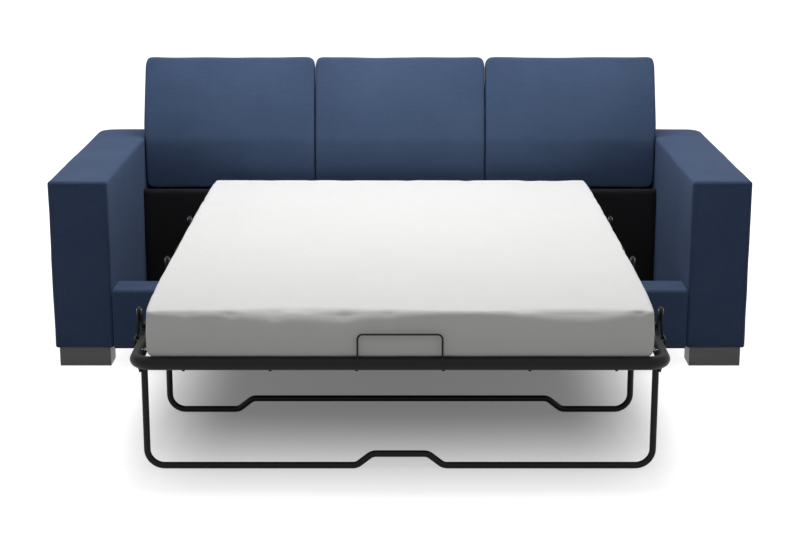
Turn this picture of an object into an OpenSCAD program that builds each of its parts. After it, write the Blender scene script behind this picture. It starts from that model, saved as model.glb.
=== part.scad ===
// Pull-out sofa bed with its steel bed frame and mattress opened out. Units are mm.
// X runs across the sofa, Y from the foot of the bed to the sofa's back, Z up from the floor.

/* [Sofa body] */
// Width over both arms
sofa_w = 2216; // [2100:2:2600]
// Depth from the arms' front to the back's rear
sofa_d = 1015; // [1000:5:1100]
// Height of the arms' tops above the floor
arm_h = 607; // [540:1:700]
// Width of one arm
arm_w = 188; // [150:2:220]
// Radius of the arms' long top edges
arm_edge_r = 10; // [6:1:30]
// Radius of the arms' rear outer corners
arm_rear_r = 60; // [30:5:80]
// Padding and fabric over the arm timber
arm_pad = 18; // [12:1:24]
// Thickness of the frame boards
board_t = 30; // [20:1:36]
// Thickness of the cloth liners
liner_t = 3; // [2:0.5:4]

/* [Feet] */
// Height of the block feet
foot_h = 63; // [50:1:90]
// Width of a block foot across the arm
foot_w = 164; // [100:1:176]
// Depth of a block foot along the arm
foot_d = 90; // [60:5:120]
// Distance from the arm's ends to the feet
foot_inset = 12; // [5:1:60]
// Diameter of the foot screws
foot_screw_d = 8; // [6:1:10]

/* [Front rail] */
// Height of the front rail's top above the floor
rail_h = 256; // [220:2:270]
// Depth of the padded front rail
rail_d = 126; // [110:2:150]
// Padding over the front rail timber
rail_pad = 14; // [8:1:20]
// Radius of the front rail's top edges
rail_edge_r = 12; // [6:1:45]

/* [Back] */
// Height of the timber back
back_h = 770; // [720:5:780]
// Padding on the outside of the back
back_pad = 10; // [6:1:14]
// Distance from the back's rear to the black liner under the cushions
back_depth = 263; // [256:1:300]

/* [Back cushions] */
// Number of back cushions
cushion_n = 3; // [2:1:4]
// Thickness of a back cushion
cushion_t = 135; // [110:5:140]
// Height of a back cushion along its slope
cushion_h = 475; // [420:5:520]
// Height of the cushions' lower front edge
cushion_z = 436; // [430:1:450]
// Distance of the cushions' lower front edge in front of the liner
cushion_set = 4; // [1:1:7]
// Backward lean of the cushions in degrees
cushion_lean = 14; // [12:0.5:15]
// Gap between cushions and beside them
cushion_gap = 2; // [1:1:14]
// Radius of the cushions' top edges
cushion_r = 60; // [40:5:60]

/* [Bed frame] */
// Distance from the front plane to the foot end of the bed frame
bed_reach = 1016; // [980:2:1060]
// Outer diameter of the bed frame tube
tube_d = 36; // [28:1:38]
// Wall of the bed frame tube
tube_wall = 1.5; // [1:0.1:2.5]
// Gap between the mattress and each side tube
mattress_side_gap = 18; // [10:1:30]
// Height of the bed frame tubes' centre line
tube_z = 319; // [316:1:326]
// Bend radius of the foot end's corners
foot_bend_r = 48; // [40:1:100]
// Length of the foot section, from the foot end to its hinge
foot_len = 291; // [270:5:320]
// Length of the seat section, between its hinges
seat_len = 595; // [570:5:610]
// Length of the head section, from its fixed hinge to the head end
head_len = 284; // [270:2:310]
// Gap between the bed frame's head end and the liner
head_clear = 12; // [8:1:30]
// Height of the hinge pins above the tube centre line
hinge_rise = 65; // [60:1:70]
// Space between a tube end and its hinge line
hinge_space = 18; // [16:1:24]
// Diameter of the cross tubes
cross_d = 20; // [16:1:22]

/* [Hinges] */
// Thickness of a hinge plate
plate_t = 4; // [3:0.5:5]
// Width of a hinge plate
plate_w = 28; // [24:1:34]
// Gap between the plates of a hinge
plate_gap = 1; // [0.6:0.1:1.6]
// Diameter of the hinge pins
pin_d = 8; // [6:0.5:10]
// Radial clearance of pins in their holes
pin_clear = 0.05; // [0.03:0.01:0.09]
// Height of a pin head
pin_head = 3; // [2:0.5:4]

/* [Legs] */
// Diameter of the leg tubes
leg_d = 18; // [16:1:20]
// Wall of the leg tubes
leg_wall = 1.5; // [1:0.1:2.5]
// Distance of the legs' centre lines inside those of the side tubes
leg_set = 15; // [8:1:18]
// Bend radius of the legs' lower corners
leg_bend_r = 46; // [36:1:60]
// Bend radius of the raised middle's ramps
ramp_bend_r = 30; // [20:1:34]
// Height by which the legs' middle is raised off the floor
leg_raise = 33; // [25:1:40]
// Run of each ramp across the bed
ramp_run = 42; // [38:1:60]
// Height of the leg pivots
leg_pivot_z = 286; // [282:1:288]
// Distance from the foot end to the front leg
front_leg_set = 91; // [75:2:110]
// Half width of the front leg's raised middle
front_raise_half = 75; // [60:5:120]
// Distance from the foot section's hinge to the middle leg
mid_leg_set = 274; // [255:2:290]
// Half width of the middle leg's raised middle
mid_raise_half = 436; // [380:4:480]
// Thickness of the leg bracket plates
leg_plate_t = 3; // [2:0.5:4]
// Diameter of the leg pivot pins
leg_pin_d = 7; // [6:0.5:8]

/* [Mattress] */
// Width of the mattress
mattress_w = 1320; // [1280:5:1400]
// Thickness of the mattress
mattress_t = 121; // [100:1:130]
// Distance from the mattress to the bed frame's foot end
mattress_foot_gap = 19; // [17:1:40]
// Distance from the mattress to the bed frame's head end
mattress_head_gap = 4; // [2:1:20]
// Radius of the mattress's corners in plan
mattress_r = 24; // [16:2:60]
// Thickness of the deck cloth
deck_t = 2; // [1:0.5:3]
// Depth and width of the deck cloth's hems
hem = 5; // [3:0.5:5]
// Distance from the side tubes to the deck cloth
deck_gap = 30; // [24:1:40]
// Gap between mattress parts that fold apart
fold_gap = 0.6; // [0.4:0.1:1]

/* [Mattress retainer] */
// Diameter of the retainer wire
wire_d = 5; // [4:0.5:6]
// Half width between the retainer wire's legs
wire_half = 111; // [80:1:150]
// Height of the retainer's top above the tube centre line
wire_rise = 81; // [60:1:120]
// Corner radius of the retainer wire
wire_bend_r = 14; // [10:1:24]
// Distance of the retainer wire in front of the tube's centre line
wire_set = 10; // [7:1:13]

/* [Deck springs] */
// Spacing of the springs along the side tubes
spring_pitch = 75; // [60:5:100]
// Diameter of a spring
spring_d = 9; // [7:1:12]
// Spacing of the cloth hooks along the foot tube
hook_pitch = 227; // [200:1:240]

/* [Mounting brackets] */
// Thickness of the mounting plates
bracket_t = 5; // [4:0.5:6]
// Width of the mounting plates
bracket_w = 60; // [50:2:80]
// Distance from the side tubes to the mounting plates
bracket_stand = 22; // [14:1:26]
// Distance of the front mounting plates behind the front rail
bracket_front_set = 104; // [90:2:140]
// Distance of the rear mounting plates in front of the liner
bracket_rear_set = 112; // [90:2:140]
// Reach of the mounting plates below the supports' tops
bracket_drop = 110; // [100:2:130]
// Height of a plate's upper bolt below the supports' tops
bolt_top_drop = 25; // [20:1:35]
// Distance between the two bolts of a plate
bolt_spacing = 60; // [50:2:65]
// Height of the side supports above the floor
support_h = 246; // [220:2:250]
// Diameter of the mounting bolts
bolt_d = 8; // [6:1:10]

/* [Hidden] */

$fn = 48;
front_y = (bed_reach - sofa_d) / 2;
liner_y = sofa_d - back_depth;
cushion_y = liner_y - cushion_set;
head_end_y = liner_y - head_clear;
head_hinge_y = head_end_y - head_len;
foot_hinge_y = bed_reach - foot_len;
seat_hinge_y = foot_hinge_y - seat_len;
front_leg_y = bed_reach - front_leg_set;
mid_leg_y = foot_hinge_y - mid_leg_set;
bracket_front_y = rail_d + bracket_front_set;
bracket_rear_y = liner_y - bracket_rear_set;
gap_w = sofa_w - 2 * arm_w;
arm_x = gap_w / 2 + arm_w / 2;
foot_in = foot_inset + foot_d / 2;
tube_r = tube_d / 2;
frame_w = mattress_w + 2 * (mattress_side_gap + tube_d);
tube_x = frame_w / 2 - tube_r;
hinge_z = tube_z + hinge_rise;
plate_in_x = frame_w / 2 + 1;
plate_out_x = plate_in_x + plate_t + plate_gap;
leg_x = tube_x - leg_set;
leg_r = leg_d / 2;
bend_thin = 0.05;
bend_lap = 0.5;
deck_z = tube_z + tube_r - deck_t + 2;
mattress_z = deck_z + deck_t;
deck_half = frame_w / 2 - tube_d - deck_gap;
bracket_x = frame_w / 2 + bracket_stand;
support_x = bracket_x + bracket_t;
lean_run = tan(cushion_lean);
cushion_w = (gap_w - cushion_gap * (cushion_n + 1)) / cushion_n;
colour_blue = [0.25, 0.31, 0.42];
colour_black = [0.09, 0.09, 0.10];
colour_steel = [0.16, 0.16, 0.17];
colour_wood = [0.76, 0.62, 0.44];
colour_white = [0.92, 0.91, 0.89];
colour_zinc = [0.62, 0.62, 0.60];

// Position along Y from a distance behind the sofa's front plane
function behind(d) = front_y + d;

// Y of the cushions' rear face at height z
function cushion_rear(z) =
  behind(cushion_y) + cushion_t / cos(cushion_lean) + (z - cushion_z) * lean_run;

module both_sides() {
  children();
  mirror([1, 0, 0])
    children();
}

// Rectangle from the origin with its own radius at each corner, anticlockwise from the origin
module round_rect(w, h, r) {
  difference() {
    square([w, h]);
    corner_cut(r[0]);
    translate([w, 0])
      rotate(90)
        corner_cut(r[1]);
    translate([w, h])
      rotate(180)
        corner_cut(r[2]);
    translate([0, h])
      rotate(270)
        corner_cut(r[3]);
  }
}

// What rounding takes from a corner at the origin
module corner_cut(r) {
  if (r > 0)
    difference() {
      translate([-1, -1])
        square([r + 1, r + 1]);
      translate([r, r])
        circle(r);
    }
}

// Solid of a profile drawn in Y and Z, extruded w along X about x = 0
module side_extrude(w) {
  rotate([90, 0, 90])
    translate([0, 0, -w / 2])
      linear_extrude(w)
        children();
}

// Rod along X from x = a to x = b
module rod_x(a, b, r) {
  translate([a, 0, 0])
    rotate([0, 90, 0])
      cylinder(h = b - a, r = r);
}

// Rod along Y from y = a to y = b
module rod_y(a, b, r) {
  translate([0, a, 0])
    rotate([-90, 0, 0])
      cylinder(h = b - a, r = r);
}

// Hollow round section, or a plain disc where the wall fills it
module ring(r, wall) {
  difference() {
    circle(r);
    if (wall < r)
      circle(r - wall);
  }
}

// Unit vector from a to b
function unit(a, b) = (b - a) / norm(b - a);

// Turn at corner i of a path, in degrees, anticlockwise positive
function turn(p, i) =
  let (a = unit(p[i - 1], p[i]), b = unit(p[i], p[i + 1]))
  atan2(a[0] * b[1] - a[1] * b[0], a[0] * b[0] + a[1] * b[1]);

// Length that the bend at point i takes from each of its straights
function bend_take(p, rads, i) =
  i == 0 || i == len(p) - 1 ? 0 : rads[i] * tan(abs(turn(p, i)) / 2);

// Tube along a path in the XY plane, with a bend radius for each point. With a lap, the straights
// run that far into the bends, whose walls are thinner by bend_thin on each face.
module bent_tube(p, rads, r, wall, lap = 0) {
  thin = lap > 0 ? bend_thin : 0;
  for (i = [0 : len(p) - 2]) {
    d = unit(p[i], p[i + 1]);
    a = p[i] + d * (bend_take(p, rads, i) - (i > 0 ? lap : 0));
    b = p[i + 1] - d * (bend_take(p, rads, i + 1) - (i < len(p) - 2 ? lap : 0));
    translate([a[0], a[1], 0])
      rotate([0, 0, atan2(d[1], d[0])])
        rotate([0, 90, 0])
          linear_extrude(norm(b - a))
            ring(r, wall);
  }
  for (i = [1 : len(p) - 2]) {
    t = turn(p, i);
    d = unit(p[i - 1], p[i]);
    side = t > 0 ? 1 : -1;
    start = p[i] - d * bend_take(p, rads, i);
    centre = start + side * rads[i] * [-d[1], d[0]];
    first = atan2(start[1] - centre[1], start[0] - centre[0]);
    translate([centre[0], centre[1], 0])
      rotate([0, 0, t > 0 ? first : first + t])
        rotate_extrude(angle = abs(t))
          translate([rads[i], 0])
            ring(r - thin, wall - 2 * thin);
  }
}

/* ---- Sofa body ---- */

// Outer form of an arm about its own centre line, shrunk by inset on every face but the bottom,
// which goes down by drop
module arm_form(inset, side, drop = 0) {
  w = arm_w - 2 * inset;
  d = sofa_d - 2 * inset;
  h = arm_h - foot_h - inset + drop;
  edge = max(1, arm_edge_r - inset);
  rear = max(1, arm_rear_r - inset);
  intersection() {
    translate([-w / 2, behind(inset) + d, foot_h - drop])
      rotate([90, 0, 0])
        linear_extrude(d)
          round_rect(w, h, [0, 0, edge, edge]);
    translate([-w / 2, behind(inset), foot_h - drop - 1])
      linear_extrude(h + 2)
        round_rect(w, d, [edge, edge, side > 0 ? rear : edge, side > 0 ? edge : rear]);
  }
}

module arm_cover(side) {
  color(colour_blue)
    translate([side * arm_x, 0, 0])
      difference() {
        arm_form(0, side);
        arm_form(arm_pad, side, 1);
      }
}

module arm_frame(side) {
  w = arm_w - 2 * arm_pad;
  d = sofa_d - 2 * arm_pad;
  h = arm_h - foot_h - arm_pad;
  color(colour_wood)
    difference() {
      translate([side * arm_x, 0, 0])
        intersection() {
          arm_form(arm_pad, side);
          union() {
            translate([-w / 2, behind(arm_pad), foot_h])
              cube([w, d, board_t]);
            translate([-w / 2, behind(arm_pad), foot_h + h - board_t])
              cube([w, d, board_t]);
            for (y = [arm_pad, sofa_d / 2 - board_t / 2, sofa_d - arm_pad - board_t])
              translate([-w / 2, behind(y), foot_h + board_t])
                cube([w, board_t, h - 2 * board_t]);
          }
        }
      foot_screw_holes();
    }
}

module front_rail_cover() {
  color(colour_blue)
    difference() {
      rail_form(0);
      rail_form(rail_pad);
    }
}

// Front rail's section along X, shrunk by inset on the front, rear and top
module rail_form(inset) {
  r = max(1, rail_edge_r - inset);
  drop = inset > 0 ? 1 : 0;
  side_extrude(gap_w - (inset > 0 ? -1 : 2))
    translate([behind(inset), foot_h - drop])
      round_rect(rail_d - 2 * inset, rail_h - foot_h - inset + drop, [0, 0, r, r]);
}

module front_rail_frame() {
  w = gap_w - 2;
  d = rail_d - 2 * rail_pad;
  h = rail_h - foot_h - rail_pad;
  step = (w - board_t) / 4;
  color(colour_wood)
    intersection() {
      rail_form(rail_pad);
      union() {
        translate([-w / 2, behind(rail_pad), foot_h])
          cube([w, board_t, h]);
        translate([-w / 2, behind(rail_d - rail_pad) - board_t, foot_h])
          cube([w, board_t, h]);
        for (i = [0 : 4])
          translate([-w / 2 + i * step, behind(rail_pad) + board_t, foot_h])
            cube([board_t, d - 2 * board_t, h]);
      }
    }
}

module side_support(side) {
  y0 = rail_d;
  color(colour_black)
    translate([side * (support_x + board_t / 2) - board_t / 2, behind(y0), foot_h])
      difference() {
        cube([board_t, liner_y - y0, support_h - foot_h]);
        for (y = [bracket_front_y, bracket_rear_y])
          for (z = bolt_heights())
            translate([0, y - y0, z - foot_h])
              rod_x(-1, board_t + 1, bolt_d / 2 + pin_clear);
      }
}

module rear_rail() {
  w = 2 * support_x;
  color(colour_wood)
    translate([-w / 2, behind(liner_y) - board_t, foot_h])
      cube([w, board_t, support_h - foot_h]);
}

module dust_cover() {
  color(colour_black)
    translate([-gap_w / 2 + 2, behind(2), foot_h - deck_t])
      cube([gap_w - 4, sofa_d - 4, deck_t]);
}

// Back's section: a vertical lower part and a slope behind the cushions
module back_section(inset) {
  top = back_h - inset;
  low = foot_h;
  knee = cushion_z - cushion_t * sin(cushion_lean) - 4;
  polygon([
    [behind(liner_y + liner_t), low],
    [behind(sofa_d - inset), low],
    [behind(sofa_d - inset), top],
    [cushion_rear(top) + liner_t, top],
    [cushion_rear(knee) + liner_t, knee],
    [behind(liner_y + liner_t), knee]
  ]);
}

module back_frame() {
  w = gap_w - 2 - 2 * back_pad;
  step = (w - board_t) / cushion_n;
  color(colour_wood)
    intersection() {
      side_extrude(w)
        back_section(back_pad);
      union() {
        for (i = [0 : cushion_n])
          translate([-w / 2 + i * step, behind(liner_y), foot_h])
            cube([board_t, sofa_d - liner_y, back_h]);
        translate([-w / 2, behind(liner_y), foot_h])
          cube([w, sofa_d - liner_y, board_t]);
        translate([-w / 2, behind(liner_y), cushion_z - cushion_t * sin(cushion_lean) - 4 - board_t])
          cube([w, sofa_d - liner_y, board_t]);
        translate([-w / 2, behind(liner_y), back_h - back_pad - 2 * board_t])
          cube([w, sofa_d - liner_y, 2 * board_t]);
      }
    }
}

module back_cover() {
  w = gap_w - 2;
  color(colour_blue)
    difference() {
      side_extrude(w)
        back_section(0);
      side_extrude(w - 2 * back_pad)
        back_section(back_pad);
    }
}

module back_liner() {
  w = gap_w - 2;
  top = cushion_z - liner_t * lean_run - 3;
  color(colour_black)
    translate([-w / 2, behind(liner_y), foot_h])
      cube([w, liner_t, top - foot_h]);
}

// Lining over the sloping front of the timber back, behind the cushions
module back_slope_liner() {
  low = cushion_z - cushion_t * sin(cushion_lean) + 2;
  top = back_h - back_pad;
  color(colour_black)
    side_extrude(gap_w - 2 - 2 * back_pad)
      polygon([
        [cushion_rear(low), low],
        [cushion_rear(low) + liner_t - 0.02, low],
        [cushion_rear(top) + liner_t - 0.02, top],
        [cushion_rear(top), top]
      ]);
}

module back_cushion(i) {
  x = -gap_w / 2 + cushion_gap + i * (cushion_w + cushion_gap);
  color(colour_blue)
    translate([x + cushion_w / 2, behind(cushion_y), cushion_z])
      rotate([-cushion_lean, 0, 0])
        intersection() {
          side_extrude(cushion_w)
            round_rect(cushion_t, cushion_h, [20, 20, cushion_r, cushion_r]);
          translate([-cushion_w / 2, cushion_t + 1, 0])
            rotate([90, 0, 0])
              linear_extrude(cushion_t + 2)
                round_rect(cushion_w, cushion_h, [16, 16, 24, 24]);
        }
}

module foot(side, rear) {
  y = rear ? sofa_d - foot_in : foot_in;
  color(colour_black)
    difference() {
      translate([side * arm_x - foot_w / 2, behind(y) - foot_d / 2, 0])
        cube([foot_w, foot_d, foot_h]);
      foot_screw_holes();
    }
}

// Places its children at each foot screw
module at_foot_screws() {
  for (side = [-1, 1])
    for (y = [foot_in, sofa_d - foot_in])
      for (x = [-1, 1])
        translate([side * arm_x + x * foot_w / 4, behind(y), 0])
          children();
}

module foot_screw_holes() {
  at_foot_screws() {
    translate([0, 0, -1])
      cylinder(h = foot_h + 1 + board_t / 2, d = foot_screw_d + 2 * pin_clear);
    translate([0, 0, -1])
      cylinder(h = 13, d = 2 * foot_screw_d + 2);
  }
}

module foot_screws() {
  color(colour_zinc)
    at_foot_screws() {
      translate([0, 0, 12])
        cylinder(h = foot_h - 12 + board_t / 2, d = foot_screw_d);
      translate([0, 0, 12 - foot_screw_d / 2])
        cylinder(h = foot_screw_d / 2, d = 2 * foot_screw_d);
    }
}

/* ---- Mounting brackets ---- */

// Heights of the two bolts in each mounting plate
function bolt_heights() =
  [support_h - bolt_top_drop, support_h - bolt_top_drop - bolt_spacing];

module bracket(side) {
  color(colour_steel)
    mirror([side > 0 ? 0 : 1, 0, 0])
        difference() {
          for (y = [bracket_front_y, bracket_rear_y]) {
            translate([bracket_x, behind(y) - bracket_w / 2, support_h - bracket_drop])
              cube([bracket_t, bracket_w, tube_z + tube_r - support_h + bracket_drop]);
            translate([tube_x, behind(y), tube_z])
              rod_x(0, bracket_x - tube_x, 9);
          }
          translate([tube_x, 0, tube_z])
            rod_y(behind(0), behind(head_end_y), tube_r);
          for (y = [bracket_front_y, bracket_rear_y])
            for (z = bolt_heights())
              translate([0, behind(y), z])
                rod_x(bracket_x - 1, bracket_x + bracket_t + 1, bolt_d / 2 + pin_clear);
        }
}

module bracket_bolts() {
  color(colour_zinc)
    both_sides()
      for (y = [bracket_front_y, bracket_rear_y])
        for (z = bolt_heights())
          translate([0, behind(y), z]) {
            rod_x(bracket_x, support_x + board_t + 6, bolt_d / 2);
            translate([bracket_x - bolt_d / 2, 0, 0])
              rotate([0, 90, 0])
                cylinder(h = bolt_d / 2, r = bolt_d * 0.9);
            translate([support_x + board_t, 0, 0])
              rotate([0, 90, 0])
                cylinder(h = 5, r = bolt_d * 0.9, $fn = 6);
          }
}

/* ---- Bed frame ---- */

// Both side tubes as solid rods, for cutting what is welded to them
module side_tube_space() {
  both_sides()
    translate([tube_x, 0, tube_z])
      rod_y(behind(-bed_reach), behind(head_end_y + 10), tube_r);
}

// Straight side tube between two distances from the front plane
module side_tube(side, a, b) {
  color(colour_steel)
    translate([side * tube_x, behind(a), tube_z])
      rotate([-90, 0, 0])
        linear_extrude(b - a)
          ring(tube_r, tube_wall);
}

module rear_rail_tube(side) {
  side_tube(side, hinge_space - seat_hinge_y, head_hinge_y - hinge_space);
  side_tube(side, head_hinge_y + hinge_space, head_end_y);
}

module cross_tube(d) {
  color(colour_steel)
    difference() {
      translate([0, behind(d), tube_z])
        rotate([90, 0, 90])
          translate([0, 0, -tube_x])
            linear_extrude(2 * tube_x)
              ring(cross_d / 2, tube_wall);
      side_tube_space();
    }
}

// Distance from a hinge line to the nearest cross tube
function cross_set() = hinge_space + 14;

module rear_cross_tubes() {
  for (d = [
    cross_set() - seat_hinge_y,
    head_hinge_y - cross_set(),
    head_hinge_y + cross_set(),
    head_end_y - cross_d / 2
  ])
    cross_tube(d);
}

module seat_cross_tubes() {
  cross_tube(cross_set() - foot_hinge_y);
  cross_tube(-cross_set() - seat_hinge_y);
}

module foot_tube() {
  open_y = -foot_hinge_y - hinge_space;
  end_y = tube_r - bed_reach;
  color(colour_steel)
    translate([0, front_y, tube_z])
      bent_tube(
        [[-tube_x, open_y], [-tube_x, end_y], [tube_x, end_y], [tube_x, open_y]],
        [0, foot_bend_r, foot_bend_r, 0], tube_r, tube_wall
      );
}

/* ---- Decks ---- */

// Cloth deck between two distances from the front plane, with a deep hem along each side
module deck(a, b) {
  color(colour_black)
    translate([0, behind(a), 0]) {
      translate([-deck_half, 0, deck_z])
        cube([2 * deck_half, b - a, deck_t]);
      for (x = [-deck_half, deck_half - hem])
        translate([x, 0, deck_z - hem])
          cube([hem, b - a, hem]);
    }
}

// Side springs of a deck
module side_springs(a, b) {
  n = floor((b - a - 40) / spring_pitch);
  start = (a + b - n * spring_pitch) / 2;
  color(colour_zinc)
    difference() {
      both_sides()
        for (i = [0 : n])
          translate([0, behind(start + i * spring_pitch), mattress_z - spring_d / 2 - 0.5])
            rod_x(deck_half, tube_x, spring_d / 2);
      side_tube_space();
    }
}

// Ends of each deck along the bed
function rear_deck_a() = cross_set() - seat_hinge_y - 24;
function rear_deck_b() = head_end_y - mattress_head_gap;
function seat_deck_a() = hinge_space - foot_hinge_y;
function seat_deck_b() = -hinge_space - seat_hinge_y;
function foot_deck_a() = tube_d + deck_gap - bed_reach;
function foot_deck_b() = -hinge_space - foot_hinge_y;

module foot_springs() {
  side_springs(foot_deck_a(), foot_deck_b());
  end_y = tube_r - bed_reach;
  color(colour_zinc)
    difference() {
      for (i = [0 : 5])
        translate([(i - 2.5) * hook_pitch, 0, mattress_z - spring_d / 2 - 0.5])
          rod_y(behind(end_y) + wire_d + 1, behind(foot_deck_a()), spring_d / 2);
      translate([0, behind(end_y), tube_z])
        rod_x(-tube_x, tube_x, tube_r);
    }
}

// Foot deck, with a hem along its end too
module foot_deck() {
  deck(foot_deck_a(), foot_deck_b());
  color(colour_black)
    translate([hem - deck_half, behind(foot_deck_a()), deck_z - hem])
      cube([2 * (deck_half - hem), hem, hem]);
}

// Buttons under the foot tube that hold the end springs' hooks
module foot_hooks() {
  end_y = tube_r - bed_reach;
  color(colour_steel)
    difference() {
      for (i = [0 : 5])
        translate([(i - 2.5) * hook_pitch, behind(end_y), tube_z - tube_r - 3])
          cylinder(h = tube_r, d = 8);
      translate([0, behind(end_y), tube_z])
        rod_x(-tube_x, tube_x, tube_r);
    }
}

/* ---- Hinges ---- */

// Flat bar along a side tube and up to the pivot, toward +Y of the pivot for dir = 1
module hinge_plate(x, pivot_y, dir) {
  near = hinge_space + plate_w / 2 + 2;
  far = near + 44;
  r = plate_w / 2;
  slope = atan2(hinge_rise, near);
  reach = norm([near, hinge_rise]);
  color(colour_steel) {
    difference() {
      translate([x, behind(pivot_y), tube_z])
        rotate([90, 0, 90])
          linear_extrude(plate_t)
            mirror([dir > 0 ? 0 : 1, 0])
              difference() {
                union() {
                  translate([near, -r])
                    square([far - near, 2 * r]);
                  translate([near, 0])
                    circle(r);
                  translate([far, 0])
                    circle(r);
                  translate([near, 0])
                    rotate(180 - slope)
                      translate([0, -r])
                        square([reach, 2 * r]);
                  translate([0, hinge_rise])
                    circle(r);
                }
                translate([0, hinge_rise])
                  circle(pin_d / 2 + pin_clear);
              }
    }
    // Two studs hold the plate off the tube
    for (d = [near, far])
      difference() {
        translate([0, behind(pivot_y + dir * d), tube_z])
          rod_x(tube_x, x, 7);
        translate([tube_x, 0, tube_z])
          rod_y(behind(pivot_y + dir * d - 20), behind(pivot_y + dir * d + 20), tube_r);
      }
    for (d = [near, far])
      translate([0, behind(pivot_y + dir * d), tube_z])
        rod_x(x + plate_t, x + plate_t + 2, 6);
  }
}

// The pair of plates, one each side, on the inner or the outer layer
module hinge_plates(pivot_y, dir, outer) {
  both_sides()
    hinge_plate(outer ? plate_out_x : plate_in_x, pivot_y, dir);
}

module rear_hinge_plates() {
  hinge_plates(-seat_hinge_y, 1, false);
  hinge_plates(head_hinge_y, -1, false);
  hinge_plates(head_hinge_y, 1, true);
}

module seat_hinge_plates() {
  hinge_plates(-seat_hinge_y, -1, true);
  hinge_plates(-foot_hinge_y, 1, false);
}

module foot_hinge_plates() {
  hinge_plates(-foot_hinge_y, -1, true);
}

// Headed pins through both plates of a hinge line
module hinge_pins(pivot_y) {
  color(colour_zinc)
    both_sides()
      translate([0, behind(pivot_y), hinge_z]) {
        rod_x(plate_in_x - pin_head, plate_in_x, pin_d);
        rod_x(plate_in_x, plate_out_x + plate_t + 0.4, pin_d / 2);
        rod_x(plate_out_x + plate_t + 0.4, plate_out_x + plate_t + 0.4 + pin_head, pin_d);
      }
}

/* ---- Legs ---- */

// Plate welded under each side tube, outside the leg
module leg_brackets(d) {
  x = leg_x + leg_r + 1;
  w = 2 * leg_d;
  color(colour_steel)
    both_sides()
      difference() {
        translate([x, behind(d), leg_pivot_z])
          rotate([90, 0, 90])
            linear_extrude(leg_plate_t)
              union() {
                circle(leg_r + 5);
                translate([-leg_r - 5, 0])
                  square([2 * leg_r + 10, tube_z - leg_pivot_z]);
              }
        translate([tube_x, 0, tube_z])
          rod_y(behind(d - w), behind(d + w), tube_r);
        translate([0, behind(d), leg_pivot_z])
          rod_x(x - 1, x + leg_plate_t + 1, leg_pin_d / 2 + pin_clear);
      }
}

// Headed pins through the leg tube and its bracket
module leg_pins(d) {
  plate_x = leg_x + leg_r + 1 + leg_plate_t;
  inner_x = leg_x - leg_r - 0.4;
  color(colour_zinc)
    both_sides()
      translate([0, behind(d), leg_pivot_z]) {
        rod_x(inner_x - pin_head, inner_x, leg_pin_d - 1);
        rod_x(inner_x, plate_x, leg_pin_d / 2);
        rod_x(plate_x, plate_x + pin_head, leg_pin_d - 1);
      }
}

// U-shaped leg with the middle of its floor bar raised
module leg(d, half) {
  top = leg_pivot_z + leg_r + 1;
  color(colour_steel)
    difference() {
      translate([0, behind(d), 0])
        rotate([90, 0, 0])
          bent_tube(
            [
              [-leg_x, top], [-leg_x, leg_r],
              [-half - ramp_run, leg_r], [-half, leg_r + leg_raise],
              [half, leg_r + leg_raise], [half + ramp_run, leg_r],
              [leg_x, leg_r], [leg_x, top]
            ],
            [0, leg_bend_r, ramp_bend_r, ramp_bend_r, ramp_bend_r, ramp_bend_r, leg_bend_r, 0],
            leg_r, leg_wall, bend_lap
          );
      both_sides()
        translate([0, behind(d), leg_pivot_z])
          rod_x(leg_x - leg_d, leg_x + leg_d, leg_pin_d / 2 + pin_clear);
    }
}

module retainer_bar() {
  end_y = tube_r - bed_reach;
  color(colour_steel)
    difference() {
      translate([0, behind(end_y) - wire_set, tube_z])
        rotate([90, 0, 0])
          bent_tube(
            [
              [-wire_half, 0], [-wire_half, wire_rise],
              [wire_half, wire_rise], [wire_half, 0]
            ],
            [0, wire_bend_r, wire_bend_r, 0], wire_d / 2, wire_d / 2
          );
      translate([0, behind(end_y), tube_z])
        rod_x(-wire_half - wire_d, wire_half + wire_d, tube_r);
    }
}

/* ---- Mattress ---- */

// Part of the mattress between two distances from the front plane
module mattress_part(a, b) {
  y0 = mattress_foot_gap - bed_reach;
  y1 = head_end_y - mattress_head_gap;
  edge = 18;
  color(colour_white)
    intersection() {
      translate([-mattress_w / 2, behind(y0), mattress_z])
        linear_extrude(mattress_t)
          round_rect(mattress_w, y1 - y0, [mattress_r, mattress_r, mattress_r, mattress_r]);
      translate([-mattress_w / 2, behind(y1), mattress_z])
        rotate([90, 0, 0])
          linear_extrude(y1 - y0)
            round_rect(mattress_w, mattress_t, [edge, edge, edge, edge]);
      side_extrude(mattress_w)
        translate([behind(y0), mattress_z])
          round_rect(y1 - y0, mattress_t, [edge, edge, edge, edge]);
      translate([-mattress_w / 2 - 1, behind(a), mattress_z - 1])
        cube([mattress_w + 2, b - a, mattress_t + 2]);
    }
}

module mattress_foot() {
  mattress_part(-bed_reach, -foot_hinge_y - fold_gap / 2);
}

module mattress_seat() {
  mattress_part(fold_gap / 2 - foot_hinge_y, -seat_hinge_y - fold_gap / 2);
}

module mattress_rear() {
  mattress_part(fold_gap / 2 - seat_hinge_y, head_end_y);
}

/* ---- Nodes ---- */

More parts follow.
